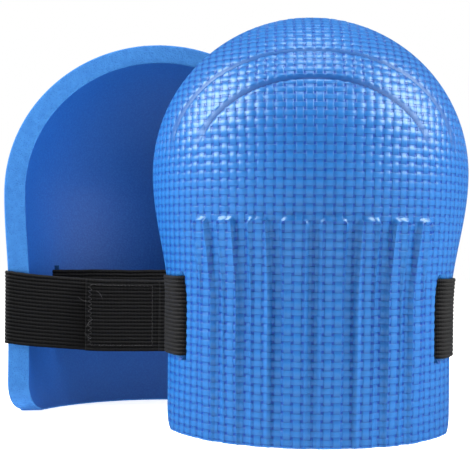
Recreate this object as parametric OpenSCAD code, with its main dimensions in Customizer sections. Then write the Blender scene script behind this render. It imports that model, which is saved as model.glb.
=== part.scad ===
// A pair of moulded foam knee pads with elastic hook-and-loop straps.
// Each pad is a domed shell that stands upright: its front faces -Y and its open
// back faces +Y. The right pad shows its front, and the left pad its hollow back.

/* [Right pad shell] */
// Height of the right pad
right_h = 240; // [225:1:255]
// Outer radius at the knee
right_knee_r = 95; // [92:1:100]
// Outer radius of the straight shin part
right_shin_r = 85.5; // [82:0.5:89]
// Height where the dome is widest
right_knee_z = 149; // [140:1:155]
// Distance from the shell's axis to the flat rim behind it
right_cut = 24; // [18:1:30]

/* [Left pad shell, flexed open] */
// Height of the left pad
left_h = 234; // [228:1:240]
// Outer radius at the knee
left_knee_r = 110.5; // [108:0.5:114]
// Outer radius of the shin part
left_shin_r = 107.5; // [104:0.5:108]
// Height where the dome is widest
left_knee_z = 138.5; // [134:0.5:145]
// Distance from the shell's axis to the flat rim
left_cut = 46; // [42:1:50]
// Turn of the left pad about the vertical
left_turn = 193; // [191:1:195]

/* [Foam] */
// Thickness of the foam in the walls
foam_t = 11.5; // [10:0.5:13]
// Thickness of the foam at the top of the rim
crown_t = 10; // [9:0.5:11]
// Height where the straight shin part begins to widen
waist_z = 70; // [62:1:78]
// Rounding of the two lower corners at the back
corner_r = 11; // [8:1:14]

/* [Ribs and dome steps] */
// Height of the moulded shin ribs
rib_h = 122.5; // [116:0.5:126]
// How far a rib stands out
rib_proud = 1.6; // [1:0.1:2.2]
// Angle between neighbouring ribs
rib_pitch = 11.9; // [11.6:0.1:12.1]
// Angle that the middle ribs cover
rib_width = 9.4; // [8.4:0.1:9.8]
// How far each dome layer stands out from the one outside it
step_proud = 1.3; // [0.8:0.1:1.6]

/* [Strap] */
// Width of the elastic webbing
strap_w = 45; // [40:1:48]
// Thickness of the elastic webbing
strap_t = 1.8; // [1.5:0.1:2]
// Height of the strap's centre line
strap_z = 67; // [65:1:69]
// Angle from the front to the middle of each slot of the right pad
right_slot_angle = 56.7; // [55.5:0.1:58]
// The same angle on the left pad, which is flexed open
left_slot_angle = 45.5; // [44:0.5:49]
// Width of a slot
slot_w = 5; // [4.4:0.2:5.6]
// Height of a slot
slot_h = 50; // [50:1:54]

/* [Hook-and-loop fastener] */
// Width of both tapes
tape_w = 40; // [36:1:40]
// Thickness of each tape
tape_t = 1; // [0.8:0.1:1.2]
// Free end of the strap, measured from the middle of the pad's back
free_end_x = 49.5; // [46:0.5:52]
// Inner end of the loop tape, on the other side of the middle
loop_end_x = -12; // [-16:1:-8]
// Length of the sewn end that carries the hook tape
hook_l = 46; // [42:1:47]
// Length of one stitch
stitch_l = 2.6; // [2:0.1:3]
// Distance between stitches
stitch_pitch = 3.6; // [3.4:0.1:4.2]

/* [Hidden] */
$fn = 96;
fit_gap = 0.3;                     // clearance between soft pieces
stitch_t = 0.6;                    // thickness of the sewing thread
stitch_inset = 2.2;                // seam line's distance from a tape's edge
rib_count = 8;
right_at = [48.3, -4.1];           // the right shell's axis, in the shared frame
left_at = [-32.0, -12.2];          // the left shell's axis
strap_low = strap_z - strap_w / 2;
tape_low = strap_z - tape_w / 2;

// One pad is a list: height, knee radius, shin radius, knee height, rim distance, slot angle.
RIGHT = [right_h, right_knee_r, right_shin_r, right_knee_z, right_cut, right_slot_angle];
LEFT = [left_h, left_knee_r, left_shin_r, left_knee_z, left_cut, left_slot_angle];

// ---- Shell profile ---------------------------------------------------------

// Half height of the dome's ellipse, chosen so that the rim's top reaches full height.
function dome_b(p) = (p[0] - p[3]) / sqrt(1 - pow(p[4] / p[1], 2));

// Outer radius of the shin part at height z: straight, then an S up to the knee.
function shin_radius(p, z) =
    let (t = max(0, min(1, (z - waist_z) / (p[3] - waist_z))))
    p[2] + (p[1] - p[2]) * (1 - cos(180 * t)) / 2;

// Points up the outside, moved inwards by `side` in the walls and `top` at the crown.
function outline(p, side, top) =
    let (a = p[1] - side, b = dome_b(p) - top, reach = acos(0.7 * p[4] / a))
    concat(
        [[p[2] - side, 0]],
        [for (i = [0 : 7]) let (z = waist_z + (p[3] - waist_z) * i / 8) [shin_radius(p, z) - side, z]],
        [for (i = [0 : 14]) [a * cos(reach * i / 14), p[3] + b * sin(reach * i / 14)]]);

function reversed(list) = [for (i = [len(list) - 1 : -1 : 0]) list[i]];

// Upper quarter of a rounded-off ellipse and its mirror image, as a closed outline.
function arch(a, b, n = 2.2, steps = 28) =
    [for (i = [0 : steps]) let (c = cos(180 * i / steps), s = sin(180 * i / steps))
        [a * sign(c) * pow(abs(c), 2 / n), b * pow(s, 2 / n)]];

// ---- Ribbons ---------------------------------------------------------------

function heading(a, b) = (b - a) / norm(b - a);
function side_of(v) = [-v[1], v[0]];
function along(path, i) =
    heading(path[max(0, min(len(path) - 2, i))], path[max(0, min(len(path) - 2, i)) + 1]);

// Mitred sideways direction at point i of a path.
function mitre(path, i) =
    let (n0 = side_of(along(path, i - 1)), n1 = side_of(along(path, i)))
    (n0 + n1) / (1 + n0 * n1);

// Closed outline of a band of thickness t along a path.
function band(path, t) = concat(
    [for (i = [0 : len(path) - 1]) path[i] + mitre(path, i) * t / 2],
    [for (i = [len(path) - 1 : -1 : 0]) path[i] - mitre(path, i) * t / 2]);

module web(path, low, height, t) {
    translate([0, 0, low])
        linear_extrude(height)
            polygon(band(path, t));
}

// ---- Strap route in plan, in the pad's own frame ----------------------------

function polar(r, a) = [r * sin(a), -r * cos(a)];
function flip(point, s) = [s * point[0], point[1]];
function lie() = fit_gap + strap_t / 2;      // centre line of webbing that lies on foam
function wrap_r(p) = shin_radius(p, strap_z + strap_w / 2);   // widest foam under the webbing
function rim_angle(p) = acos(p[4] / wrap_r(p));
function rim_edge(p) = polar(wrap_r(p), rim_angle(p));
function back_y(p) = rim_edge(p)[1] + lie();

// Webbing around one edge strip: in at the slot, along the outside, over the rim.
function edge_wrap(p, s) = [for (point = concat(
    [polar(p[2] - foam_t - strap_t, p[5])],
    [for (i = [0 : 6]) polar(wrap_r(p) + lie(), p[5] + (rim_angle(p) - p[5]) * i / 6)],
    [for (a = [95, 118, 142, 166]) rim_edge(p) + polar(lie(), a)],
    [[rim_edge(p)[0] - 2, back_y(p)]]))
    flip(point, s)];

// Level of the webbing that lies on top of the two tapes.
function over_y(p) = back_y(p) + strap_t + 2 * tape_t + fit_gap;
function peel_x() = free_end_x - hook_l;     // line where the free end peels open

// ---- Sub-parts of one pad ---------------------------------------------------

module shell_body(p, side, top, grow) {
    rotate_extrude()
        polygon(concat(outline(p, -grow, -grow), reversed(outline(p, side, top))));
}

// Everything in front of the rim plane, with the lower back corners rounded.
module front_space(p) {
    big = 2 * p[0];
    difference() {
        translate([-big / 2, -p[4] - big, 0])
            cube([big, big, big]);
        difference() {
            translate([-big / 2, -p[4] - corner_r, -1])
                cube([big, corner_r + 1, corner_r + 1]);
            translate([-big / 2 - 1, -p[4] - corner_r, corner_r])
                rotate([0, 90, 0])
                    cylinder(r = corner_r, h = big + 2);
        }
    }
}

// One moulded rib, centred on the front, with a sloping top end.
module rib(p, width) {
    top_r = shin_radius(p, rib_h);
    mid_r = shin_radius(p, rib_h - 18);
    rotate([0, 0, -90 - width / 2])
        rotate_extrude(angle = width)
            polygon([[p[2] - 3, 0], [p[2] + 0.5, 0], [p[2] + rib_proud, 30], [p[2] + rib_proud, waist_z],
                     [mid_r + rib_proud, rib_h - 18], [top_r + rib_proud * 0.7, rib_h - 4],
                     [top_r - 0.5, rib_h], [top_r - 3, rib_h]]);
}

// A layer of the dome: the part of a slightly larger shell inside an arch.
module dome_layer(p, grow, half_w, half_h, low) {
    k = (p[0] - p[3]) / 91;
    b = dome_b(p);
    turns = [for (i = [1 : 12]) 6.5 * i];
    intersection() {
        rotate_extrude()
            polygon(concat(
                [[p[1] - 3, p[3] + 4]],
                [for (a = turns) let (g = grow * min(1, (a - 6.5) / 13) - 0.2)
                    [(p[1] + g) * cos(a), p[3] + (b + g) * sin(a)]],
                reversed([for (a = turns) [(p[1] - 4) * cos(a), p[3] + (b - 4) * sin(a)]])));
        translate([0, 0, p[3] + low * k])
            rotate([90, 0, 0])
                linear_extrude(2 * p[1])
                    polygon(arch(half_w * p[1] / 95, half_h * k));
    }
}

module slot_cutter(p, s) {
    rotate([0, 0, s * p[5]])
        translate([-slot_w / 2, -p[2] - 6, strap_z - slot_h / 2])
            cube([slot_w, foam_t + 12, slot_h]);
}

module foam_shell(p) {
    color("dodgerblue")
        difference() {
            union() {
                intersection() {
                    shell_body(p, foam_t, crown_t, 0);
                    front_space(p);
                }
                for (i = [0 : rib_count - 1])
                    let (k = abs(i - (rib_count - 1) / 2) - 0.5)
                        rotate([0, 0, (i - (rib_count - 1) / 2) * rib_pitch])
                            rib(p, rib_width - 0.9 * k);
                dome_layer(p, step_proud, 79, 63, 1);
                dome_layer(p, 2 * step_proud, 68, 63, -16);
            }
            slot_cutter(p, 1);
            slot_cutter(p, -1);
        }
}

// The threaded strap: loop side, edge wraps, slots, inner span and over-lying side.
module strap(p) {
    color([0.09, 0.09, 0.1])
        web(concat(
                [[loop_end_x - 4, back_y(p)]],
                reversed(edge_wrap(p, 1)),
                edge_wrap(p, -1),
                [[loop_end_x - 6, over_y(p)], [peel_x() - fit_gap / 2, over_y(p)]]),
            strap_low, strap_w, strap_t);
}

// The sewn free end of the same webbing, which peels open.
module strap_end(p) {
    color([0.15, 0.15, 0.16])
        web([[peel_x() + fit_gap / 2, over_y(p)], [free_end_x, over_y(p)]],
            strap_low, strap_w, strap_t);
}

module tape(x0, x1, y, low, height) {
    translate([x0, y, low])
        cube([x1 - x0, tape_t, height]);
}

module loop_tape(p) {
    color([0.05, 0.05, 0.05])
        tape(loop_end_x, free_end_x - 1, back_y(p) + strap_t / 2, tape_low, tape_w);
}

module hook_tape(p) {
    color([0.2, 0.2, 0.2])
        tape(peel_x() + 2, free_end_x - 1.5, over_y(p) - strap_t / 2 - tape_t,
             tape_low, tape_w);
}

// A rectangle of separate stitches that stand out from a face at height y.
module seam_box(x0, x1, y, low, high) {
    across = floor((x1 - x0) / stitch_pitch);
    upward = floor((high - low) / stitch_pitch);
    for (i = [0 : across - 1])
        for (z = [low, high])
            translate([x0 + (i + 0.5) * (x1 - x0) / across - stitch_l / 2, y, z - stitch_t / 2])
                cube([stitch_l, stitch_t, stitch_t]);
    for (i = [0 : upward - 1])
        for (x = [x0, x1])
            translate([x - stitch_t / 2, y, low + (i + 0.5) * (high - low) / upward - stitch_l / 2])
                cube([stitch_t, stitch_t, stitch_l]);
}

// The loop tape's seam shows on the strap's inner face, behind the tape.
module loop_stitching(p) {
    color([0.25, 0.25, 0.25])
        seam_box(loop_end_x + stitch_inset, free_end_x - 1 - stitch_inset,
                 back_y(p) - strap_t / 2 - stitch_t, tape_low + stitch_inset,
                 tape_low + tape_w - stitch_inset);
}

// The hook tape's seam shows on the outer face of the free end.
module hook_stitching(p) {
    color([0.25, 0.25, 0.25])
        seam_box(peel_x() + 2 + stitch_inset, free_end_x - 1.5 - stitch_inset,
                 over_y(p) + strap_t / 2, tape_low + stitch_inset,
                 tape_low + tape_w - stitch_inset);
}

// ---- Placing the two pads ----------------------------------------------------

module right_place() {
    translate([right_at[0], right_at[1], 0])
        children();
}

module left_place() {
    translate([left_at[0], left_at[1], 0])
        rotate([0, 0, left_turn])
            children();
}

module right_foam_shell() { right_place() foam_shell(RIGHT); }
module right_strap() { right_place() strap(RIGHT); }
module right_loop_tape() { right_place() loop_tape(RIGHT); }
module right_loop_stitching() { right_place() loop_stitching(RIGHT); }
module right_strap_end() { right_place() strap_end(RIGHT); }
module right_hook_tape() { right_place() hook_tape(RIGHT); }
module right_hook_stitching() { right_place() hook_stitching(RIGHT); }

module left_foam_shell() { left_place() foam_shell(LEFT); }
module left_strap() { left_place() strap(LEFT); }
module left_loop_tape() { left_place() loop_tape(LEFT); }
module left_loop_stitching() { left_place() loop_stitching(LEFT); }
module left_strap_end() { left_place() strap_end(LEFT); }
module left_hook_tape() { left_place() hook_tape(LEFT); }
module left_hook_stitching() { left_place() hook_stitching(LEFT); }

right_foam_shell();
right_strap();
right_loop_tape();
right_loop_stitching();
right_strap_end();
right_hook_tape();
right_hook_stitching();
left_foam_shell();
left_strap();
left_loop_tape();
left_loop_stitching();
left_strap_end();
left_hook_tape();
left_hook_stitching();
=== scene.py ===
import math
from dataclasses import dataclass

import bpy
import numpy as np
from mathutils import Matrix, Vector


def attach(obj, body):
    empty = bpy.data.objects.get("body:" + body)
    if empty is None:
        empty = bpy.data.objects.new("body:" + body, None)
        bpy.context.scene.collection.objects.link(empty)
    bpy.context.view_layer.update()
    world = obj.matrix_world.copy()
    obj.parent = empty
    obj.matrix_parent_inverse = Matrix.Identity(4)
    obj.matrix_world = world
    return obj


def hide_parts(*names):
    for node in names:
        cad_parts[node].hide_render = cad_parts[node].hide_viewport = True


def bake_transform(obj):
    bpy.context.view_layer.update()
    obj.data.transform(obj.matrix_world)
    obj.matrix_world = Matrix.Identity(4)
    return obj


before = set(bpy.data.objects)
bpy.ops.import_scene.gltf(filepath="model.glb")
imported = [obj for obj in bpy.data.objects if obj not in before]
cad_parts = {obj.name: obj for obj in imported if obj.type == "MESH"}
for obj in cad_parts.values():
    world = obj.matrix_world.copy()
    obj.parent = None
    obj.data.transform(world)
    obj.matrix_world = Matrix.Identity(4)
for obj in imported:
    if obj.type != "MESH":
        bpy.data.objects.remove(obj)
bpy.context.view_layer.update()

# All sizes are in millimetres and turned into metres when a mesh is made.
MM = 0.001

# ---- Driving sizes ------------------------------------------------------------

FOAM_T = 11.5            # wall of a shell
CROWN_T = 10.0           # shell at the top of the dome
WAIST_Z = 70.0           # where the straight shin part begins to widen
EDGE_R = 1.0             # small rounding of every cut edge

RIB_TOP = 122.5
RIB_PROUD = 2.1
RIB_CENTRES = (6.4, 18.7, 30.4, 41.0)     # degrees from the front, on both sides
RIB_WIDTHS = (9.4, 7.9, 7.5, 6.6)         # degrees
RIB_CORNER = 3.2
RIB_EDGE = 1.3           # width of a rib's rounded side
RIB_BEAD = 0.45          # small lip along a rib's edge
RIB_LOW = 0.45           # share of its height that a rib keeps at the lower edge
RIB_FULL_Z = 60.0        # height from which a rib stands out fully

STEP_PROUD = 0.9         # how far a dome layer stands above the one over it
STEP_EDGE = 0.8          # width of a layer's rounded edge, and of the painted dark shade line along it
VALLEY_DEPTH = 1.1       # sunk strip above each dome layer
VALLEY_REACH = 2.2
DOME_LAYERS = ((79.0, 1.0), (68.0, -16.0))     # half width of each arch, and its foot above the knee
ARCH_HEIGHT = 63.0
ARCH_POWER = 2.2
ARCH_DOME_R = 95.0       # radius and rise of the dome that the arches are sized for
ARCH_DOME_RISE = 91.0

WEAVE_COLUMN = 5.25      # pitch of the moulded weave
WEAVE_ROW = 4.6
WEAVE_DEPTH = 0.6
WEAVE_SINK = 0.4         # how much of that depth lies below the plain surface
WEAVE_MEAN = 0.64        # height where two bars are level with each other
WEAVE_WAVE = 0.36        # how far a bar rises and dips
BAR_X = 0.35             # half width of an upright bar, as a share of the pitch
BAR_Y = 0.31             # half height of a level bar
BAR_FOOT = 0.1           # how far a bar's side runs past its half width
BAR_SLOPE = 0.17         # width of a bar's side
PLAIN_KNIT = 0.6         # height of the smooth strips between crowns and pits

STRAP_W = 45.0
STRAP_T = 1.8
STRAP_Z = 67.0
STRAP_RIBS = 20
SLOT_W = 5.0
SLOT_H = 50.0
GAP = 0.3                # clearance between soft pieces
RING_STEP = 1.9          # spacing of the rings of points along webbing
POINTS_PER_RIB = 4

TAPE_W = 40.0
TAPE_T = 1.0
FREE_END_X = 49.5
LOOP_END_X = -12.0
HOOK_L = 46.0
PEEL_X = FREE_END_X - HOOK_L
BEND_L = 8.0             # length of webbing past the peel line, for a point that bend_at_peel works out and does not use
LOOP_X = (LOOP_END_X, FREE_END_X - 1)
HOOK_X = (PEEL_X + 2, FREE_END_X - 1.5)

SEAM_INSET = 2.2
STITCH_PITCH = 2.3
STITCH_GAP = 0.08        # share of the pitch left free at each end of a stitch
STITCH_BOW = 0.28
ZIGZAG_PITCH = 1.5
THREAD_R = 0.2

# Grid of a shell: rows below the slots, beside them, up to the knee and over the dome,
# and columns on each side from the front to the slot, across it and on to the rim.
ROWS_BELOW, ROWS_SLOT, ROWS_ABOVE, ROWS_DOME = 44, 52, 60, 144
COLUMNS_FRONT, COLUMNS_SLOT, COLUMNS_BACK = 96, 8, 28
DOME_CROWDING = 1.35     # above 1, the rows draw together towards the top
INNER_STEP = 4           # the smooth inner surface has every fourth row and column,
INNER_LOW_ROWS = 24      # and all of the lowest rows
RIM_FADE = 1 / 40        # share of the way from rim to front over which the relief fades in

OUTSIDE, INSIDE, CUT = 0, 1, 2                 # order of a shell's materials


@dataclass
class Pad:
    """One pad's own sizes, and where it stands in the frame."""

    side: str
    height: float
    knee_r: float            # radius of the outside at the knee
    shin_r: float            # and along the shin
    knee_z: float            # height at which the dome begins
    cut: float               # how far the plane of the rim lies in front of the axis
    at: tuple                # where the axis stands
    turn: float              # degrees about the axis
    slot_angle: float        # degrees from the front to the middle of a slot
    corner_r: float          # rounding of the lower corners, at the rim
    sag: float               # how far the webbing hangs down in the middle of the back

    @property
    def pad_body(self):
        return self.side + "_pad"

    @property
    def end_body(self):
        return self.side + "_free_end"

    @property
    def back_y(self):
        """Centre of the webbing that lies across the back."""
        return -self.cut + GAP + STRAP_T / 2

    @property
    def over_y(self):
        """Centre of the webbing that lies on top of both tapes."""
        return self.back_y + STRAP_T + 2 * TAPE_T + GAP

    def to_frame(self, points):
        """Points from the pad's own frame, in mm, to the shared frame, in metres."""
        c, s = math.cos(math.radians(self.turn)), math.sin(math.radians(self.turn))
        p = np.asarray(points, float)
        x = p[:, 0] * c - p[:, 1] * s + self.at[0]
        y = p[:, 0] * s + p[:, 1] * c + self.at[1]
        return np.stack([x, y, p[:, 2]], 1) * MM


PADS = (
    Pad(side="right", height=240.0, knee_r=95.0, shin_r=85.5, knee_z=149.0, cut=24.0,
        at=(48.3, -4.1), turn=0.0, slot_angle=56.7, corner_r=11.0, sag=3.0),
    Pad(side="left", height=234.0, knee_r=110.5, shin_r=107.5, knee_z=138.5, cut=46.0,
        at=(-32.0, -12.2), turn=193.0, slot_angle=45.5, corner_r=20.0, sag=5.6),
)


def smooth(t):
    """Rises smoothly from 0 to 1 as t does."""
    t = np.clip(t, 0, 1)
    return t * t * (3 - 2 * t)


def polar(radius, angle):
    """Plan point at an angle in degrees from the pad's front."""
    a = math.radians(angle)
    return np.array([radius * math.sin(a), -radius * math.cos(a)])


# ---- Mesh helpers ---------------------------------------------------------------

def make_object(name, pad, points, faces, materials, face_material=None):
    """A smooth mesh from points in the pad's own frame."""
    mesh = bpy.data.meshes.new(name)
    mesh.from_pydata(pad.to_frame(points).tolist(), [], [tuple(f) for f in faces])
    for material in materials:
        mesh.materials.append(material)
    if face_material is not None:
        mesh.polygons.foreach_set("material_index", np.asarray(face_material, np.int32))
    mesh.polygons.foreach_set("use_smooth", np.ones(len(mesh.polygons), bool))
    mesh.validate()
    obj = bpy.data.objects.new(name, mesh)
    bpy.context.scene.collection.objects.link(obj)
    return obj


def set_uv(obj, uv):
    """uv holds one pair for each vertex."""
    layer = obj.data.uv_layers.new(name="surface")
    index = np.zeros(len(obj.data.loops), np.int32)
    obj.data.loops.foreach_get("vertex_index", index)
    layer.data.foreach_set("uv", np.asarray(uv, np.float32)[index].ravel())


def set_attribute(obj, name, values):
    attribute = obj.data.attributes.new(name, "FLOAT", "POINT")
    attribute.data.foreach_set("value", np.asarray(values, np.float32))


def grid_faces(rows, columns, start=0, keep=None, flip=False):
    """Quads of a rows x columns grid of vertices that begins at index start."""
    r, c = np.meshgrid(np.arange(rows - 1), np.arange(columns - 1), indexing="ij")
    a = start + r * columns + c
    quads = np.stack([a, a + 1, a + columns + 1, a + columns], -1)
    if flip:
        quads = quads[..., ::-1]
    quads = quads.reshape(-1, 4)
    return quads if keep is None else quads[keep.ravel()]


# ---- Foam shell -------------------------------------------------------------------

def segments(stops, counts):
    """Values that run from stop to stop in equal steps, with a count for each stretch."""
    parts = [np.linspace(a, b, n, endpoint=False) for a, b, n in zip(stops, stops[1:], counts)]
    return np.concatenate(parts + [[stops[-1]]])


class ShellForm:
    """Outer and inner surface of one shell, without any relief."""

    def __init__(self, pad):
        self.pad = pad
        self.dome_b = (pad.height - pad.knee_z) / math.sqrt(1 - (pad.cut / pad.knee_r) ** 2)
        self.edge_cut = pad.cut + EDGE_R
        self.reach_out = math.acos(self.edge_cut / pad.knee_r)
        self.reach_in = math.acos(self.edge_cut / (pad.knee_r - FOAM_T))
        self.rim_angle = math.degrees(math.acos(self.edge_cut / pad.shin_r))
        half = math.degrees(SLOT_W / 2 / pad.shin_r)
        self.slot_a = pad.slot_angle - half
        self.slot_b = pad.slot_angle + half

    def shin_radius(self, z):
        """Outside radius below the dome."""
        p = self.pad
        t = np.clip((np.asarray(z, float) - WAIST_Z) / (p.knee_z - WAIST_Z), 0, 1)
        return p.shin_r + (p.knee_r - p.shin_r) * (1 - np.cos(np.pi * t)) / 2

    def rows(self):
        """Row stations: below 1 a share of the knee's height, above 1 a share of the dome."""
        low, high = STRAP_Z - SLOT_H / 2, STRAP_Z + SLOT_H / 2
        knee = self.pad.knee_z
        body = segments([EDGE_R, low, high, knee], [ROWS_BELOW, ROWS_SLOT, ROWS_ABOVE])[:-1] / knee
        q = np.linspace(0, 1, ROWS_DOME + 1)
        dome = 1 + (1 - (1 - q) ** DOME_CROWDING)
        self.slot_rows = (ROWS_BELOW, ROWS_BELOW + ROWS_SLOT)
        return np.concatenate([body, dome])

    def columns(self):
        """Column stations from -1 at one rim to 1 at the other."""
        a, b = self.slot_a / self.rim_angle, self.slot_b / self.rim_angle
        self.share_a, self.share_b = a, b
        half = segments([0, a, b, 1], [COLUMNS_FRONT, COLUMNS_SLOT, COLUMNS_BACK])
        second = COLUMNS_BACK + COLUMNS_SLOT + 2 * COLUMNS_FRONT
        self.slot_columns = ((COLUMNS_BACK, COLUMNS_BACK + COLUMNS_SLOT), (second, second + COLUMNS_SLOT))
        return np.concatenate([-half[::-1], half[1:]])

    def profile(self, station, inner):
        """Radius and height at row stations."""
        p = self.pad
        z_body = np.minimum(station, 1) * p.knee_z
        t = np.clip(station - 1, 0, 1) * (self.reach_in if inner else self.reach_out)
        side, top = (FOAM_T, CROWN_T) if inner else (0, 0)
        dome = station > 1
        r = np.where(dome, (p.knee_r - side) * np.cos(t), self.shin_radius(z_body) - side)
        z = np.where(dome, p.knee_z + (self.dome_b - top) * np.sin(t), z_body)
        return r, z

    def rim_y(self, z):
        """Depth at which the surfaces end, which curves forward at the lower corners."""
        corner_r = self.pad.corner_r
        drop = np.clip(corner_r - z, 0, corner_r)
        back = corner_r - np.sqrt(corner_r ** 2 - drop ** 2)
        return -(self.edge_cut + back)

    def surface(self, station, column, inner=False):
        """Angle, radius and height of every grid point."""
        r, z = self.profile(station, inner)
        limit = np.degrees(np.arccos(np.clip(-self.rim_y(z) / r, -1, 1)))
        angle = np.empty((len(station), len(column)))
        for i, most in enumerate(limit):
            a = min(self.slot_a, self.share_a * most)
            b = min(self.slot_b, self.share_b * most)
            angle[i] = np.interp(np.abs(column), [0, self.share_a, self.share_b, 1], [0, a, b, most])
        angle *= np.sign(column)
        return np.radians(angle), r[:, None] + 0 * angle, z[:, None] + 0 * angle


def weave_height(columns, rows):
    """Height from 0 in the pits to 1 on the crowns of the bars, as a plain weave."""
    i, j = np.floor(columns), np.floor(rows)
    x, y = columns - i - 0.5, rows - j - 0.5
    side = (1 - 2 * (i % 2)) * (1 - 2 * (j % 2))
    wave_y = WEAVE_MEAN + WEAVE_WAVE * side * np.cos(np.pi * y)
    wave_x = WEAVE_MEAN - WEAVE_WAVE * side * np.cos(np.pi * x)
    upright = wave_y * smooth((BAR_X + BAR_FOOT - abs(x)) / BAR_SLOPE)
    level = wave_x * smooth((BAR_Y + BAR_FOOT - abs(y)) / BAR_SLOPE)
    return np.maximum(upright, level)


def rib_relief(angle, radius, z):
    """Moulded shin ribs with rounded top corners."""
    proud = RIB_PROUD * (RIB_LOW + (1 - RIB_LOW) * smooth(z / RIB_FULL_Z))
    total = np.zeros_like(z)
    for centre, width in zip(RIB_CENTRES, RIB_WIDTHS):
        across = radius * (abs(np.abs(angle) - math.radians(centre)) - math.radians(width) / 2)
        u = across + RIB_CORNER
        v = z - RIB_TOP + RIB_CORNER
        distance = (np.hypot(np.maximum(u, 0), np.maximum(v, 0))
                    + np.minimum(np.maximum(u, v), 0) - RIB_CORNER)
        bead = RIB_BEAD * np.exp(-((distance + RIB_EDGE) / 0.8) ** 2)
        total = np.maximum(total, proud * (smooth(-distance / RIB_EDGE) + bead))
    return total


def mould_line(angle, radius, z):
    """A thin raised line on each side, where the knee bulge runs down into the shin."""
    height, half_width = 0.4, 0.7
    bottom, top, fade = 92.0, 134.0, 8.0
    turn = np.radians(44.9 + (z - 96) * 0.32)          # it leans back on its way up
    across = radius * (np.abs(angle) - turn)
    ends = smooth((z - bottom) / fade) * smooth((top - z) / fade)
    return height * np.exp(-(across / half_width) ** 2) * ends


def slot_dent(form, angle, radius, z):
    """The foam's surface is pressed down where the webbing turns into a slot."""
    behind = radius * (np.abs(angle) - math.radians(form.slot_b))
    before = radius * (math.radians(form.slot_a) - np.abs(angle))
    tall = smooth((SLOT_H / 2 + 1 - np.abs(z - STRAP_Z)) / 4)
    press = np.zeros_like(z)
    for past, depth, reach in ((behind, 2.2, 6.0), (before, 0.8, 2.5)):
        press = press + np.where(past > -0.1, depth * np.clip(1 - past / reach, 0, 1) ** 2, 0)
    return press * tall


def layer_relief(pad, x, z, lift):
    """Stepped dome layers: a smooth sunk strip, a sharp crease painted as a dark shade line, and a proud
    layer below it.

    Gives the relief, the share that is smooth, and the strength of the crease, which the outer material
    paints as dark shade.
    """
    relief = np.zeros_like(z)
    plain = np.zeros_like(z)
    crease = np.zeros_like(z)
    k = (pad.height - pad.knee_z) / ARCH_DOME_RISE
    fade = smooth((z - pad.knee_z - 8 * k) / (22 * k))
    for half_w, low in DOME_LAYERS:
        a, b = half_w * pad.knee_r / ARCH_DOME_R, ARCH_HEIGHT * k
        up = np.maximum(z - pad.knee_z - low * k, 0)
        f = ((np.abs(x) / a) ** ARCH_POWER + (up / b) ** ARCH_POWER) ** (1 / ARCH_POWER)
        f = np.maximum(f, 0.05)
        fx = (np.abs(x) / a / f) ** (ARCH_POWER - 1) / a
        fz = (up / b / f) ** (ARCH_POWER - 1) / b
        slope = np.maximum(np.hypot(fx, fz), 1e-6)
        tilt = np.sqrt(np.clip(1 - (lift * fz / slope) ** 2, 0.12, 1))
        d = (f - 1) / slope / tilt                     # mm outside the arch, along the foam
        relief += fade * STEP_PROUD * smooth(-d / STEP_EDGE)
        relief -= fade * VALLEY_DEPTH * np.exp(-np.maximum(d, 0) / VALLEY_REACH) * smooth((d + 0.7) / 0.7)
        plain = np.maximum(plain, fade * smooth((2.4 - np.abs(d - 1.3)) / STEP_EDGE))
        # painted shade: a dark line just above each step, and a lighter shade over the sunk strip
        line = np.exp(-((d - 0.3) / STEP_EDGE) ** 2)
        shade = 0.35 * smooth((2.1 - np.abs(d - 1.4)) / STEP_EDGE)
        crease = np.maximum(crease, fade * np.maximum(line, shade))
    return relief, plain, crease


def edge_strip(start, end, outward):
    """Rows of points across the foam from start to end, bulging outward with rounded edges."""
    across = end - start
    length = np.linalg.norm(across, axis=1, keepdims=True)
    unit = across / length
    turns = np.radians([0, 30, 60, 90])
    stations = [(EDGE_R * (1 - math.cos(t)), EDGE_R * math.sin(t)) for t in turns]
    lines = [start + unit * inset + outward * out for inset, out in stations]
    for share in (0.3, 0.5, 0.7):
        lines.append(start + across * share + outward * EDGE_R)
    lines += [end - unit * inset + outward * out for inset, out in stations[::-1]]
    return np.stack(lines)


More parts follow.
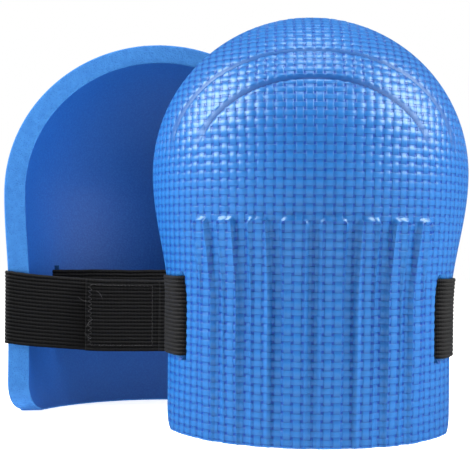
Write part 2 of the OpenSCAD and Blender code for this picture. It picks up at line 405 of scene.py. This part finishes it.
def build_shell(pad, materials):
    """The whole foam moulding: both surfaces, the cut edges and the slots."""
    form = ShellForm(pad)
    station, column = form.rows(), form.columns()
    n_r, n_c = len(station), len(column)
    angle, radius, z = form.surface(station, column)

    # Outward normal of the profile, and length along it for the weave's rows.
    r_line, z_line = radius[:, n_c // 2], z[:, n_c // 2]
    dr, dz = np.gradient(r_line), np.gradient(z_line)
    size = np.hypot(dr, dz)
    lean, lift = (dz / size)[:, None], (-dr / size)[:, None]
    run = np.concatenate([[0], np.cumsum(np.hypot(np.diff(r_line), np.diff(z_line)))])[:, None]

    x = radius * np.sin(angle)
    weave_u = pad.knee_r * np.arcsin(np.clip(x / pad.knee_r, -1, 1)) / WEAVE_COLUMN
    weave_v = run / WEAVE_ROW + 0 * x
    layers, plain, crease = layer_relief(pad, x, z, lift)
    relief = rib_relief(angle, radius, z) + layers + mould_line(angle, radius, z)
    woven = 1 - plain
    knit = weave_height(weave_u, weave_v) * woven + PLAIN_KNIT * plain
    relief += WEAVE_DEPTH * knit - WEAVE_SINK
    edge_fade = smooth((1 - np.abs(column)) / RIM_FADE)[None, :]
    relief = relief * edge_fade - slot_dent(form, angle, radius, z)
    outer = np.stack([(radius + relief * lean) * np.sin(angle),
                      -(radius + relief * lean) * np.cos(angle),
                      z + relief * lift], -1)

    def inner_points(rows, columns):
        a, r, h = form.surface(station[rows], column[columns], inner=True)
        return np.stack([r * np.sin(a), -r * np.cos(a), h], -1)

    rows_in = np.concatenate([np.arange(INNER_LOW_ROWS), np.arange(INNER_LOW_ROWS, n_r, INNER_STEP)])
    columns_in = np.arange(0, n_c, INNER_STEP)
    inner = inner_points(rows_in, columns_in)

    points, faces, kinds, uvs, knits, folds = [], [], [], [], [], []

    def add(block, quads, kind, uv=None, on=None, fold=None):
        block = block.reshape(-1, 3)
        start = sum(len(p) for p in points)
        points.append(block)
        faces.append(quads + start)
        kinds.append(np.full(len(quads), kind))
        uvs.append(np.zeros((len(block), 2)) if uv is None else uv.reshape(-1, 2))
        knits.append(np.zeros(len(block)) if on is None else on.ravel())
        folds.append(np.zeros(len(block)) if fold is None else fold.ravel())

    row_a, row_b = form.slot_rows
    solid = np.ones((n_r - 1, n_c - 1), bool)
    for col_a, col_b in form.slot_columns:
        solid[row_a:row_b, col_a:col_b] = False
    weave_uv = np.stack([weave_u, weave_v], -1)
    add(outer, grid_faces(n_r, n_c, keep=solid), OUTSIDE, weave_uv, woven, crease)
    solid_in = solid[rows_in[:-1]][:, columns_in[:-1]]
    add(inner, grid_faces(len(rows_in), len(columns_in), keep=solid_in, flip=True), INSIDE)

    # Cut faces: both sides of the rim, the bottom edge, and the joins between them.
    everything = np.arange(n_r)
    across = np.arange(n_c)
    backward = np.array([0.0, 1.0, 0.0])
    downward = np.array([0.0, 0.0, -1.0])
    bottom = edge_strip(outer[0], inner_points(np.array([0]), across)[0], downward)
    add(bottom, grid_faces(len(bottom), n_c, flip=True), CUT)
    for end in (0, n_c - 1):
        inside = inner_points(everything, np.array([end]))[:, 0]
        rim = edge_strip(outer[:, end], inside, backward)
        add(rim, grid_faces(len(rim), n_r, flip=end == 0), CUT)
        join = np.stack([rim[:, 0], bottom[:, end]])
        add(join, grid_faces(2, len(rim), flip=end != 0), CUT)

    # Slot walls, from the outer surface straight through to the inner one.
    for col_a, col_b in form.slot_columns:
        ring = ([(row_a, c) for c in range(col_a, col_b)] + [(r, col_b) for r in range(row_a, row_b)]
                + [(row_b, c) for c in range(col_b, col_a, -1)]
                + [(r, col_a) for r in range(row_b, row_a - 1, -1)])
        r_i, c_i = np.array(ring).T
        out_ring = outer[r_i, c_i]
        in_ring = np.array([inner_points(np.array([r]), np.array([c]))[0, 0] for r, c in ring])
        wall = np.stack([out_ring, out_ring * 0.5 + in_ring * 0.5, in_ring])
        add(wall, grid_faces(3, len(ring), flip=True), CUT)

    shell = make_object(pad.side + "_shell", pad, np.concatenate(points), np.concatenate(faces).tolist(),
                        materials, np.concatenate(kinds))
    set_uv(shell, np.concatenate(uvs))
    set_attribute(shell, "woven", np.concatenate(knits))
    # the crease strength is painted as dark shade by the outer material
    set_attribute(shell, "crease", np.concatenate(folds))
    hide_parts(pad.side + "_foam_shell")
    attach(shell, pad.pad_body)
    return form


# ---- Webbing ---------------------------------------------------------------------

def rounded_path(points):
    """A plan route with its corners cut twice, resampled evenly, and the length up to each point."""
    p = np.asarray(points, float)
    for _ in range(2):
        cut = np.empty((2 * (len(p) - 1), 2))
        cut[0::2] = p[:-1] * 0.75 + p[1:] * 0.25
        cut[1::2] = p[:-1] * 0.25 + p[1:] * 0.75
        p = np.concatenate([p[:1], cut, p[-1:]])
    run = np.concatenate([[0], np.cumsum(np.linalg.norm(np.diff(p, axis=0), axis=1))])
    at = np.linspace(0, run[-1], int(run[-1] / RING_STEP) + 1)
    return np.stack([np.interp(at, run, p[:, 0]), np.interp(at, run, p[:, 1])], 1), at


def sag_at(pad, x, y):
    """How far webbing across the open back hangs down."""
    edge = math.sqrt(pad.shin_r ** 2 - pad.cut ** 2)
    share = np.clip(np.abs(x) / edge, 0, 1)
    on_back = smooth((np.asarray(y) - (pad.back_y - 6)) / 5)
    return -pad.sag * (1 - share ** 2.6) * on_back


def build_webbing(name, pad, form, route, material, seed):
    """Ribbed elastic along a plan route."""
    path, run = rounded_path(route)
    tangent = np.gradient(path, axis=0)
    tangent /= np.linalg.norm(tangent, axis=1, keepdims=True)
    side = np.stack([-tangent[:, 1], tangent[:, 0]], 1)
    n_across = STRAP_RIBS * POINTS_PER_RIB + 1
    w = np.linspace(-1, 1, n_across)
    phase = w * STRAP_RIBS * np.pi / 2
    cord = np.abs(np.sin((w + 1) * STRAP_RIBS * np.pi / 2)) ** 0.6
    thick = STRAP_T / 2 * (0.5 + 0.5 * cord) * (1 - 0.35 * np.abs(w) ** 40)
    rng = np.random.default_rng(seed)
    window = 13
    wobble = np.convolve(rng.normal(0, 1, len(path) + window - 1), np.ones(window) / window, "valid") * 0.5
    radius = np.linalg.norm(path, axis=1)
    on_wrap = smooth((radius - pad.shin_r + 0.6) / 0.8) * smooth((pad.back_y - 0.2 - path[:, 1]) / 3)
    height = STRAP_Z + w[None, :] * STRAP_W / 2
    z = height + (sag_at(pad, path[:, 0], path[:, 1]) + wobble)[:, None]
    swell = (form.shin_radius(z) - pad.shin_r) * on_wrap[:, None]
    out = path / np.maximum(radius, 1)[:, None]
    ripple = 0.05 * np.sin(run / RING_STEP * 2.4)[:, None] * np.cos(phase)[None, :]

    def face(sign):
        offset = sign * (thick[None, :] + ripple)
        x = path[:, 0, None] + side[:, 0, None] * offset + out[:, 0, None] * swell
        y = path[:, 1, None] + side[:, 1, None] * offset + out[:, 1, None] * swell
        return np.stack([x, y, z], -1)

    a, b = face(1), face(-1)
    rings = np.concatenate([a, b[:, ::-1]], 1)
    n, m = rings.shape[:2]
    closed = np.concatenate([rings, rings[:, :1]], 1)
    across = np.concatenate([w, w[::-1], w[:1]]) * STRAP_RIBS / 2
    uv = np.stack(np.broadcast_arrays(run[:, None] / 2.0, across[None, :]), -1)
    quads = grid_faces(n, m + 1)
    caps = []
    for row, flip in ((0, False), (n - 1, True)):
        base = row * (m + 1)
        for i in range(n_across - 1):
            quad = [base + i, base + i + 1, base + m - 2 - i, base + m - 1 - i]
            caps.append(quad[::-1] if flip else quad)
    obj = make_object(name, pad, closed.reshape(-1, 3), quads.tolist() + caps, [material])
    set_uv(obj, uv.reshape(-1, 2))
    return obj


def edge_wrap(pad, side):
    """Webbing round one side: in at the slot, along the outside and over the rim."""
    lie = GAP + STRAP_T / 2
    rim = math.degrees(math.acos(pad.cut / pad.shin_r))
    edge = polar(pad.shin_r, rim)
    turn = math.degrees(1 / pad.shin_r)          # one millimetre along the surface
    flat = pad.slot_angle + 7.5 * turn           # from here the webbing lies on the foam
    pts = [polar(pad.shin_r + out, pad.slot_angle + along * turn) for out, along in
           ((-FOAM_T - STRAP_T - 1, 0), (-5, 0), (-2.2, 0.5), (-0.2, 2.2), (0.8, 4.5))]
    pts += [polar(pad.shin_r + lie, flat + share * (rim - flat)) for share in np.linspace(0, 1, 6)]
    pts += [edge + polar(lie, a) for a in (95, 118, 142, 166)]
    pts += [np.array([edge[0] - 4, pad.back_y])]
    return [np.array([side * p[0], p[1]]) for p in pts]


def build_strap(pad, form, webbing):
    """The threaded strap, and its free end from the peel line on."""
    route = [(LOOP_END_X - 4, pad.back_y)]
    route += edge_wrap(pad, 1)[::-1]
    route += edge_wrap(pad, -1)
    route += [(LOOP_END_X - 10, pad.over_y - 2.2), (LOOP_END_X - 2, pad.over_y), (PEEL_X, pad.over_y)]
    strap = build_webbing(pad.side + "_webbing", pad, form, route, webbing, seed=3)
    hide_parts(pad.side + "_strap")
    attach(strap, pad.pad_body)

    end_route = [(PEEL_X, pad.over_y), (FREE_END_X, pad.over_y)]
    end = build_webbing(pad.side + "_webbing_end", pad, form, end_route, webbing, seed=4)
    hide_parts(pad.side + "_strap_end")
    bend_at_peel(end, pad)


def bend_at_peel(obj, pad):
    """Bakes a free-end piece's placement into its mesh; the piece is not bent where the webbing peels off the
    loop tape.
    """
    a = pad.to_frame([[PEEL_X, pad.over_y, STRAP_Z], [PEEL_X + BEND_L, pad.over_y, STRAP_Z]])
    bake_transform(obj)


# ---- Tapes and stitching ------------------------------------------------------------

def slab(x0, x1, y, thick, low, high, step):
    """A soft-edged flat tape as one closed grid: front, edge and back."""
    nx, nz = int((x1 - x0) / step) + 1, int((high - low) / step) + 1
    x, z = np.meshgrid(np.linspace(x0, x1, nx), np.linspace(low, high, nz), indexing="ij")
    rim = np.minimum.reduce([x - x0, x1 - x, z - low, high - z])
    half = thick / 2 * (0.45 + 0.55 * smooth(rim / 0.8))
    front = np.stack([x, y + half, z], -1).reshape(-1, 3)
    back = np.stack([x, y - half, z], -1).reshape(-1, 3)
    faces = np.concatenate([grid_faces(nx, nz, flip=True), grid_faces(nx, nz, start=nx * nz)]).tolist()
    line = ([i * nz for i in range(nx)] + [(nx - 1) * nz + j for j in range(1, nz)]
            + [i * nz + nz - 1 for i in range(nx - 2, -1, -1)] + [j for j in range(nz - 2, 0, -1)])
    for a, b in zip(line, line[1:] + line[:1]):
        faces.append([a, b, b + nx * nz, a + nx * nz])
    return np.concatenate([front, back]), faces


def tubes(lines, radius, sides):
    """Thin closed tubes along several polylines."""
    points, faces = [], []
    for line in lines:
        p = np.asarray(line, float)
        along = np.gradient(p, axis=0)
        along /= np.maximum(np.linalg.norm(along, axis=1, keepdims=True), 1e-9)
        guide = np.array([0.3, 1.0, 0.2])              # a direction that no line follows
        u = np.cross(along, guide)
        u /= np.linalg.norm(u, axis=1, keepdims=True)
        v = np.cross(along, u)
        start = sum(len(q) for q in points)
        taper = np.ones(len(p))
        taper[[0, -1]] = 0.35                          # thinner ends
        for i in range(len(p)):
            a = np.linspace(0, 2 * np.pi, sides, endpoint=False)
            ring = p[i] + radius * taper[i] * (np.cos(a)[:, None] * u[i] + np.sin(a)[:, None] * v[i])
            points.append(ring)
        for i in range(len(p) - 1):
            for j in range(sides):
                k = (j + 1) % sides
                a, b = start + i * sides, start + (i + 1) * sides
                faces.append([a + j, a + k, b + k, b + j])
        faces.append([start + j for j in range(sides)][::-1])
        faces.append([start + (len(p) - 1) * sides + j for j in range(sides)])
    return np.concatenate(points), faces


def stitch(a, b, out, bulge):
    """One thread bow from a to b, standing up in the middle."""
    t = np.linspace(0, 1, 5)[:, None]
    return np.array(a) * (1 - t) + np.array(b) * t + np.array(out) * bulge * np.sin(np.pi * t)


def seam_lines(ends, y, low, high, facing, rng):
    """Stitches along both edges and down the inner end, and a zigzag down the outer end."""
    x0, x1 = ends
    lines = []
    out = np.array([0.0, facing, 0.0])
    count = int((x1 - x0) / STITCH_PITCH)
    for z in (low, high):
        for i in range(count):
            a = x0 + (i + STITCH_GAP) * (x1 - x0) / count
            b = x0 + (i + 1 - STITCH_GAP) * (x1 - x0) / count
            tilt = rng.normal(0, 0.12)
            lines.append(stitch([a, y, z - tilt], [b, y, z + tilt], out, STITCH_BOW))
    count = int((high - low) / ZIGZAG_PITCH)
    for x, swing in ((x0, 0.2), (x1, 1.1)):
        for i in range(count):
            z = [low + (i + share) * (high - low) / count for share in (0.04, 0.96)]
            s = swing if i % 2 else -swing
            lines.append(stitch([x - s, y, z[0]], [x + s, y, z[1]], out, STITCH_BOW))
    return lines


def loose_thread(x, y, z, dx, dz):
    """A short thread end that curls away from the webbing."""
    t = np.linspace(0, 1, 9)[:, None]
    start = np.array([x, y, z])
    middle = start + np.array([dx * 0.6, 1.6, dz * 0.1])
    end = start + np.array([dx, 0.9, dz])
    return start * (1 - t) ** 2 + 2 * middle * t * (1 - t) + end * t ** 2


def with_sag(pad, points):
    """Points that hang down with the webbing they are sewn to."""
    p = np.array(points, float)
    p[:, 2] += sag_at(pad, p[:, 0], np.full(len(p), pad.back_y))
    return p


def build_loop_tape(pad, material, low, high, rng):
    """Tape on the strap, with a soft uneven pile."""
    y = pad.back_y + STRAP_T / 2 + TAPE_T / 2 + 0.02
    pts, faces = slab(*LOOP_X, y, TAPE_T, low, high, step=0.8)
    front = len(pts) // 2
    pts[:front, 1] += rng.normal(0, 0.05, front)
    tape = make_object(pad.side + "_loop_pile", pad, with_sag(pad, pts), faces, [material])
    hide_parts(pad.side + "_loop_tape")
    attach(tape, pad.pad_body)


def build_hook_tape(pad, material, low, high):
    """Tape under the free end: a thin base and rows of small hooks that point at the loop tape."""
    x0, x1 = HOOK_X
    y = pad.over_y - STRAP_T / 2
    pitch, inset, beyond = 1.5, 1.4, 1.2
    pts, faces = slab(x0, x1, y - 0.22, 0.4, low, high, step=1.6)
    hooks = []
    for i, x in enumerate(np.arange(x0 + inset, x1 - beyond, pitch)):
        for z in np.arange(low + inset, high - beyond, pitch):
            s = 0.4 if i % 2 else -0.4
            hooks.append([[x, y - 0.4, z], [x, y - 0.72, z + 0.1 * s],
                          [x + 0.15 * s, y - 0.92, z + 0.6 * s], [x, y - 0.74, z + 1.1 * s]])
    hook_pts, hook_faces = tubes(hooks, 0.11, sides=4)
    shifted = [[i + len(pts) for i in face] for face in hook_faces]
    tape = make_object(pad.side + "_hook_rows", pad, with_sag(pad, np.concatenate([pts, hook_pts])),
                       faces + shifted, [material])
    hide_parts(pad.side + "_hook_tape")
    bend_at_peel(tape, pad)


def build_seam(pad, name, lines, thread):
    """All stitches of one tape as one piece."""
    pts, faces = tubes(lines, THREAD_R, sides=5)
    seam = make_object(f"{pad.side}_{name}_seam", pad, with_sag(pad, pts), faces, [thread])
    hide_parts(f"{pad.side}_{name}_stitching")
    return seam


def build_fastener(pad, loop_material, hook_material, thread):
    """Both tapes and the two seams that hold them."""
    low, high = STRAP_Z - TAPE_W / 2, STRAP_Z + TAPE_W / 2
    seam_low, seam_high = low + SEAM_INSET - 1, high - SEAM_INSET + 1
    rng = np.random.default_rng(11)
    build_loop_tape(pad, loop_material, low, high, rng)
    build_hook_tape(pad, hook_material, low, high)

    # The hook seam shows on the outer face of the free end, with a few loose thread ends.
    x0, x1 = HOOK_X
    y = pad.over_y + STRAP_T / 2 - 0.05
    lines = seam_lines((x0 + SEAM_INSET, x1 - 1.2), y, seam_low, seam_high, 1, rng)
    for x, z, dx, dz in ((x1 + 0.5, 75, 6, 3), (x1 - 3, 64, 4, -5), (x1 - 2, 52, 4, 4), (x1 - 5, 82, -4, -5)):
        lines.append(loose_thread(x, y, z, dx, dz))
    bend_at_peel(build_seam(pad, "hook", lines, thread), pad)

    # The loop seam shows on the strap's inner face.
    x0, x1 = LOOP_X
    y = pad.back_y - STRAP_T / 2 + 0.05
    lines = seam_lines((x0 + SEAM_INSET, x1 - SEAM_INSET), y, seam_low, seam_high, -1, rng)
    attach(build_seam(pad, "loop", lines, thread), pad.pad_body)


# ---- Materials --------------------------------------------------------------------

def tone(r, g, b):
    """A display colour as scene-linear RGBA."""
    def linear(c):
        c /= 255
        return c / 12.92 if c <= 0.04045 else ((c + 0.055) / 1.055) ** 2.4
    return (linear(r), linear(g), linear(b), 1.0)


class Sum:
    """Node arithmetic written as ordinary arithmetic."""

    def __init__(self, tree, socket):
        self.tree = tree
        self.socket = socket

    def apply(self, operation, *others):
        node = self.tree.nodes.new("ShaderNodeMath")
        node.operation = operation
        for slot, value in zip(node.inputs, (self, *others)):
            if isinstance(value, Sum):
                self.tree.links.new(value.socket, slot)
            else:
                slot.default_value = value
        return Sum(self.tree, node.outputs[0])

    def __add__(self, other):
        return self.apply("ADD", other)

    def __sub__(self, other):
        return self.apply("SUBTRACT", other)

    def __mul__(self, other):
        return self.apply("MULTIPLY", other)

    def above(self, other):
        return self.apply("MAXIMUM", other)

    def size(self):
        return self.apply("ABSOLUTE")

    def ramp(self, low, high):
        """Rises smoothly from 0 at low to 1 at high."""
        node = self.tree.nodes.new("ShaderNodeMapRange")
        node.interpolation_type = "SMOOTHSTEP"
        self.tree.links.new(self.socket, node.inputs["Value"])
        node.inputs["From Min"].default_value = low
        node.inputs["From Max"].default_value = high
        return Sum(self.tree, node.outputs["Result"])


class Finish:
    """A material under construction. Noise and cells keep to the object's own metres."""

    def __init__(self, name, roughness, specular=0.5, sheen=0.0, tint=(1, 1, 1, 1)):
        self.material = bpy.data.materials.new(name)
        self.material.use_nodes = True
        self.tree = self.material.node_tree
        self.shader = self.tree.nodes["Principled BSDF"]
        self.shader.inputs["Roughness"].default_value = roughness
        self.shader.inputs["Specular IOR Level"].default_value = specular
        self.shader.inputs["Specular Tint"].default_value = tint
        if sheen:
            self.shader.inputs["Sheen Weight"].default_value = sheen
            self.shader.inputs["Sheen Roughness"].default_value = 0.4

    def uv(self):
        node = self.tree.nodes.new("ShaderNodeUVMap")
        node.uv_map = "surface"
        split = self.tree.nodes.new("ShaderNodeSeparateXYZ")
        self.tree.links.new(node.outputs[0], split.inputs[0])
        return Sum(self.tree, split.outputs["X"]), Sum(self.tree, split.outputs["Y"])

    def attribute(self, name):
        node = self.tree.nodes.new("ShaderNodeAttribute")
        node.attribute_name = name
        return Sum(self.tree, node.outputs["Fac"])

    def noise(self, scale, detail=3.0, stretch=(1, 1, 1)):
        place = self.tree.nodes.new("ShaderNodeTexCoord")
        mapping = self.tree.nodes.new("ShaderNodeMapping")
        mapping.inputs["Scale"].default_value = stretch
        node = self.tree.nodes.new("ShaderNodeTexNoise")
        node.inputs["Scale"].default_value = scale
        node.inputs["Detail"].default_value = detail
        self.tree.links.new(place.outputs["Object"], mapping.inputs["Vector"])
        self.tree.links.new(mapping.outputs[0], node.inputs["Vector"])
        return Sum(self.tree, node.outputs[0])

    def cells(self, scale):
        place = self.tree.nodes.new("ShaderNodeTexCoord")
        node = self.tree.nodes.new("ShaderNodeTexVoronoi")
        node.inputs["Scale"].default_value = scale
        self.tree.links.new(place.outputs["Object"], node.inputs["Vector"])
        return Sum(self.tree, node.outputs["Distance"])

    def mix(self, share, a, b):
        """Mixes two colours, each a tuple or the result of another mix."""
        node = self.tree.nodes.new("ShaderNodeMix")
        node.data_type = "RGBA"
        self.tree.links.new(share.socket, node.inputs["Factor"])
        for slot, value in ((node.inputs[6], a), (node.inputs[7], b)):
            if isinstance(value, tuple):
                slot.default_value = value
            else:
                self.tree.links.new(value, slot)
        return node.outputs[2]

    def colour(self, socket):
        self.tree.links.new(socket, self.shader.inputs["Base Color"])

    def gloss(self, level):
        """Specular level that varies over the surface."""
        self.tree.links.new(level.socket, self.shader.inputs["Specular IOR Level"])

    def rough(self, value):
        self.tree.links.new(value.socket, self.shader.inputs["Roughness"])

    def bump(self, height, depth):
        """Fine relief, with its depth in mm."""
        node = self.tree.nodes.new("ShaderNodeBump")
        node.inputs["Distance"].default_value = depth * MM
        self.tree.links.new(height.socket, node.inputs["Height"])
        self.tree.links.new(node.outputs[0], self.shader.inputs["Normal"])


def woven_foam():
    """Outside of a shell: a moulded plain weave with painted shade in the pits and beside the bars, painted
    highlight on the crowns, and dull creases painted dark as shade.
    """
    specular = 0.7
    m = Finish("moulded_weave", 0.35, specular, tint=(0.66, 0.9, 1.0, 1))
    u, v = m.uv()
    i, j = u.apply("FLOOR"), v.apply("FLOOR")
    x, y = u - i - 0.5, v - j - 0.5
    parity = (i + j).apply("FLOORED_MODULO", 2.0)
    side = parity * -2.0 + 1.0
    wave_y = (y * math.pi).apply("COSINE") * side * WEAVE_WAVE + WEAVE_MEAN
    wave_x = (x * math.pi).apply("COSINE") * side * -WEAVE_WAVE + WEAVE_MEAN
    outer, inner = 0.05, 0.03            # spread of a painted bar's edge
    upright = wave_y * (x.size() * -1.0).ramp(-BAR_X - outer, -BAR_X + inner)
    level = wave_x * (y.size() * -1.0).ramp(-BAR_Y - outer, -BAR_Y + inner)
    on = m.attribute("woven")
    knit = upright.above(level) * on + (on * -1.0 + 1.0) * 0.62
    broad = m.noise(14, 2.0)
    grain = m.noise(1100, 2.0)
    body = m.mix(broad.ramp(0.35, 0.65), tone(20, 86, 157), tone(26, 93, 165))
    # painted highlight: the crowns of the bars are lighter
    crown = m.mix(knit.ramp(0.7, 1.0), body, tone(32, 104, 175))
    # painted shade: darker where a bar dips past the edge of the one over it
    shade = m.mix(knit.ramp(0.4, 0.64), tone(17, 79, 154), crown)
    # painted shade: the pits are darkest
    skin = m.mix(knit.ramp(0.05, 0.4), tone(6, 60, 150), shade)
    crease = m.attribute("crease")
    # painted shade: the creases are darkened to deep navy
    m.colour(m.mix(crease, skin, tone(2, 28, 94)))
    m.rough(grain * 0.14 + crease * 0.15 + 0.3)
    m.gloss(crease * -0.62 + specular)
    m.bump(knit + grain * 0.06, 0.4)
    return m.material


def plain_foam():
    """Smooth skin on the inside of a shell, painted a darker blue than the outside as shade in the hollow."""
    m = Finish("smooth_foam", 0.5, 0.35)
    broad = m.noise(10, 2.0)
    fine = m.noise(900, 3.0)
    # painted shade: the inside's blues are darker than the outside's
    body = m.mix(broad.ramp(0.3, 0.7), tone(13, 68, 144), tone(18, 75, 152))
    m.colour(m.mix(fine.ramp(0.3, 0.8), body, tone(24, 84, 161)))
    m.rough(fine * 0.12 + 0.42)
    m.bump(fine, 0.06)
    return m.material


def cut_foam():
    """Cut rim with fine open pores, painted darker as shade inside them."""
    m = Finish("cut_foam", 0.75, 0.25)
    pores = m.cells(900)
    cloud = m.noise(260, 4.0)
    body = m.mix(cloud.ramp(0.3, 0.7), tone(46, 109, 178), tone(54, 119, 187))
    # painted shade: the pores are darker than the foam around them
    m.colour(m.mix(pores.ramp(0.05, 0.3), tone(24, 76, 150), body))
    m.rough(cloud * 0.2 + 0.62)
    m.bump(pores + cloud * 0.4, 0.16)
    return m.material


def elastic():
    """Ribbed black elastic with a fine cross weave and a little grey fibre; the rib tops are painted lighter
    as highlight and the grooves darker as shade.
    """
    m = Finish("ribbed_elastic", 0.7, 0.25, sheen=0.04)
    u, v = m.uv()
    cross = (u * math.pi * 2.2).apply("SINE").size()
    fibre = m.noise(700, 4.0, (1, 1, 6))
    rib = ((v * math.pi).apply("SINE").size()).ramp(0.2, 1.0)
    # painted highlight on the rib tops and painted shade in the grooves between ribs
    body = m.mix(rib, tone(1, 1, 2), tone(13, 13, 14))
    m.colour(m.mix(fibre.ramp(0.55, 0.8), body, tone(22, 22, 24)))
    m.rough(fibre * 0.3 + 0.5)
    m.bump(cross * 0.5 + fibre + rib * 0.6, 0.22)
    return m.material


def pile():
    """Loop tape: dark curled velour."""
    m = Finish("loop_velour", 0.95, 0.1, sheen=0.5)
    curl = m.noise(1300, 5.0)
    tuft = m.cells(1500)
    m.colour(m.mix(curl.ramp(0.35, 0.7), tone(9, 9, 10), tone(44, 44, 47)))
    m.bump(curl + tuft, 0.4)
    return m.material


def hook_plastic():
    """Hook tape: dark nylon."""
    m = Finish("hook_nylon", 0.45, 0.5)
    grain = m.noise(500, 3.0)
    m.colour(m.mix(grain.ramp(0.3, 0.7), tone(20, 20, 21), tone(38, 38, 40)))
    m.rough(grain * 0.2 + 0.35)
    m.bump(grain, 0.08)
    return m.material


def sewing_thread():
    """Dark grey twisted thread."""
    m = Finish("grey_thread", 0.8, 0.3, sheen=0.3)
    twist = m.noise(1600, 3.0, (3, 1, 1))
    m.colour(m.mix(twist.ramp(0.3, 0.7), tone(24, 24, 26), tone(44, 44, 47)))
    m.bump(twist, 0.1)
    return m.material


# ---- Studio ------------------------------------------------------------------------

def build_world():
    """A soft even light, which the camera sees as plain white."""
    world = bpy.data.worlds.new("studio")
    world.use_nodes = True
    tree = world.node_tree
    soft = tree.nodes["Background"]
    white = tree.nodes.new("ShaderNodeBackground")
    for node, strength in ((soft, 0.17), (white, 1.0)):
        node.inputs["Color"].default_value = (1, 1, 1, 1)
        node.inputs["Strength"].default_value = strength
    path = tree.nodes.new("ShaderNodeLightPath")
    choice = tree.nodes.new("ShaderNodeMixShader")
    tree.links.new(path.outputs["Is Camera Ray"], choice.inputs[0])
    tree.links.new(soft.outputs[0], choice.inputs[1])
    tree.links.new(white.outputs[0], choice.inputs[2])
    tree.links.new(choice.outputs[0], tree.nodes["World Output"].inputs["Surface"])
    bpy.context.scene.world = world


def build_floor():
    """A pale floor that glows a little, so that it runs into the white."""
    half = 2.2
    material = bpy.data.materials.new("pale_floor")
    material.use_nodes = True
    shader = material.node_tree.nodes["Principled BSDF"]
    shader.inputs["Base Color"].default_value = (0.9, 0.9, 0.9, 1)
    shader.inputs["Roughness"].default_value = 0.9
    shader.inputs["Emission Color"].default_value = (1, 1, 1, 1)
    shader.inputs["Emission Strength"].default_value = 0.8
    mesh = bpy.data.meshes.new("floor")
    corners = [(-half, -half, 0), (half, -half, 0), (half, half, 0), (-half, half, 0)]
    mesh.from_pydata(corners, [], [(0, 1, 2, 3)])
    mesh.materials.append(material)
    floor = bpy.data.objects.new("floor", mesh)
    bpy.context.scene.collection.objects.link(floor)
    floor.visible_glossy = False


def build_lights():
    """Two large boxes high on the left and right, and a small one overhead."""
    middle = Vector((0, 0, 0.12))
    for name, place, size, power in (
        ("left_box", (-1.0, -0.22, 0.85), 0.75, 26.0),
        ("right_box", (1.1, -0.22, 0.85), 0.75, 25.0),
        ("top_box", (0.05, -0.1, 1.15), 0.4, 5.0),
    ):
        light = bpy.data.lights.new(name, "AREA")
        light.energy = power
        light.size = size
        obj = bpy.data.objects.new(name, light)
        bpy.context.scene.collection.objects.link(obj)
        obj.location = place
        obj.rotation_euler = (middle - Vector(place)).to_track_quat("-Z", "Y").to_euler()


def build_camera():
    """Level view from the front, turned and rolled by a degree or two."""
    yaw, roll = math.radians(1.71), math.radians(0.58)
    place = (0.0248, -0.6928, 0.1129)
    level = Vector((math.cos(yaw), math.sin(yaw), 0))
    up = Vector((0, 0, 1))
    forward = Vector((-math.sin(yaw), math.cos(yaw), 0))
    right = level * math.cos(roll) + up * math.sin(roll)
    top = up * math.cos(roll) - level * math.sin(roll)
    data = bpy.data.cameras.new("camera")
    data.sensor_width = 36
    data.lens = 87.3
    camera = bpy.data.objects.new("camera", data)
    bpy.context.scene.collection.objects.link(camera)
    turn = Matrix((right, top, -forward)).transposed()
    camera.matrix_world = Matrix.Translation(place) @ turn.to_4x4()
    bpy.context.scene.camera = camera


bpy.context.scene.view_settings.view_transform = "Standard"
build_camera()
build_world()
build_floor()
build_lights()
foam = [woven_foam(), plain_foam(), cut_foam()]          # in the order OUTSIDE, INSIDE, CUT
webbing_material = elastic()
loop_material = pile()
hook_material = hook_plastic()
thread_material = sewing_thread()

for pad in PADS:
    form = build_shell(pad, foam)
    build_strap(pad, form, webbing_material)
    build_fastener(pad, loop_material, hook_material, thread_material)
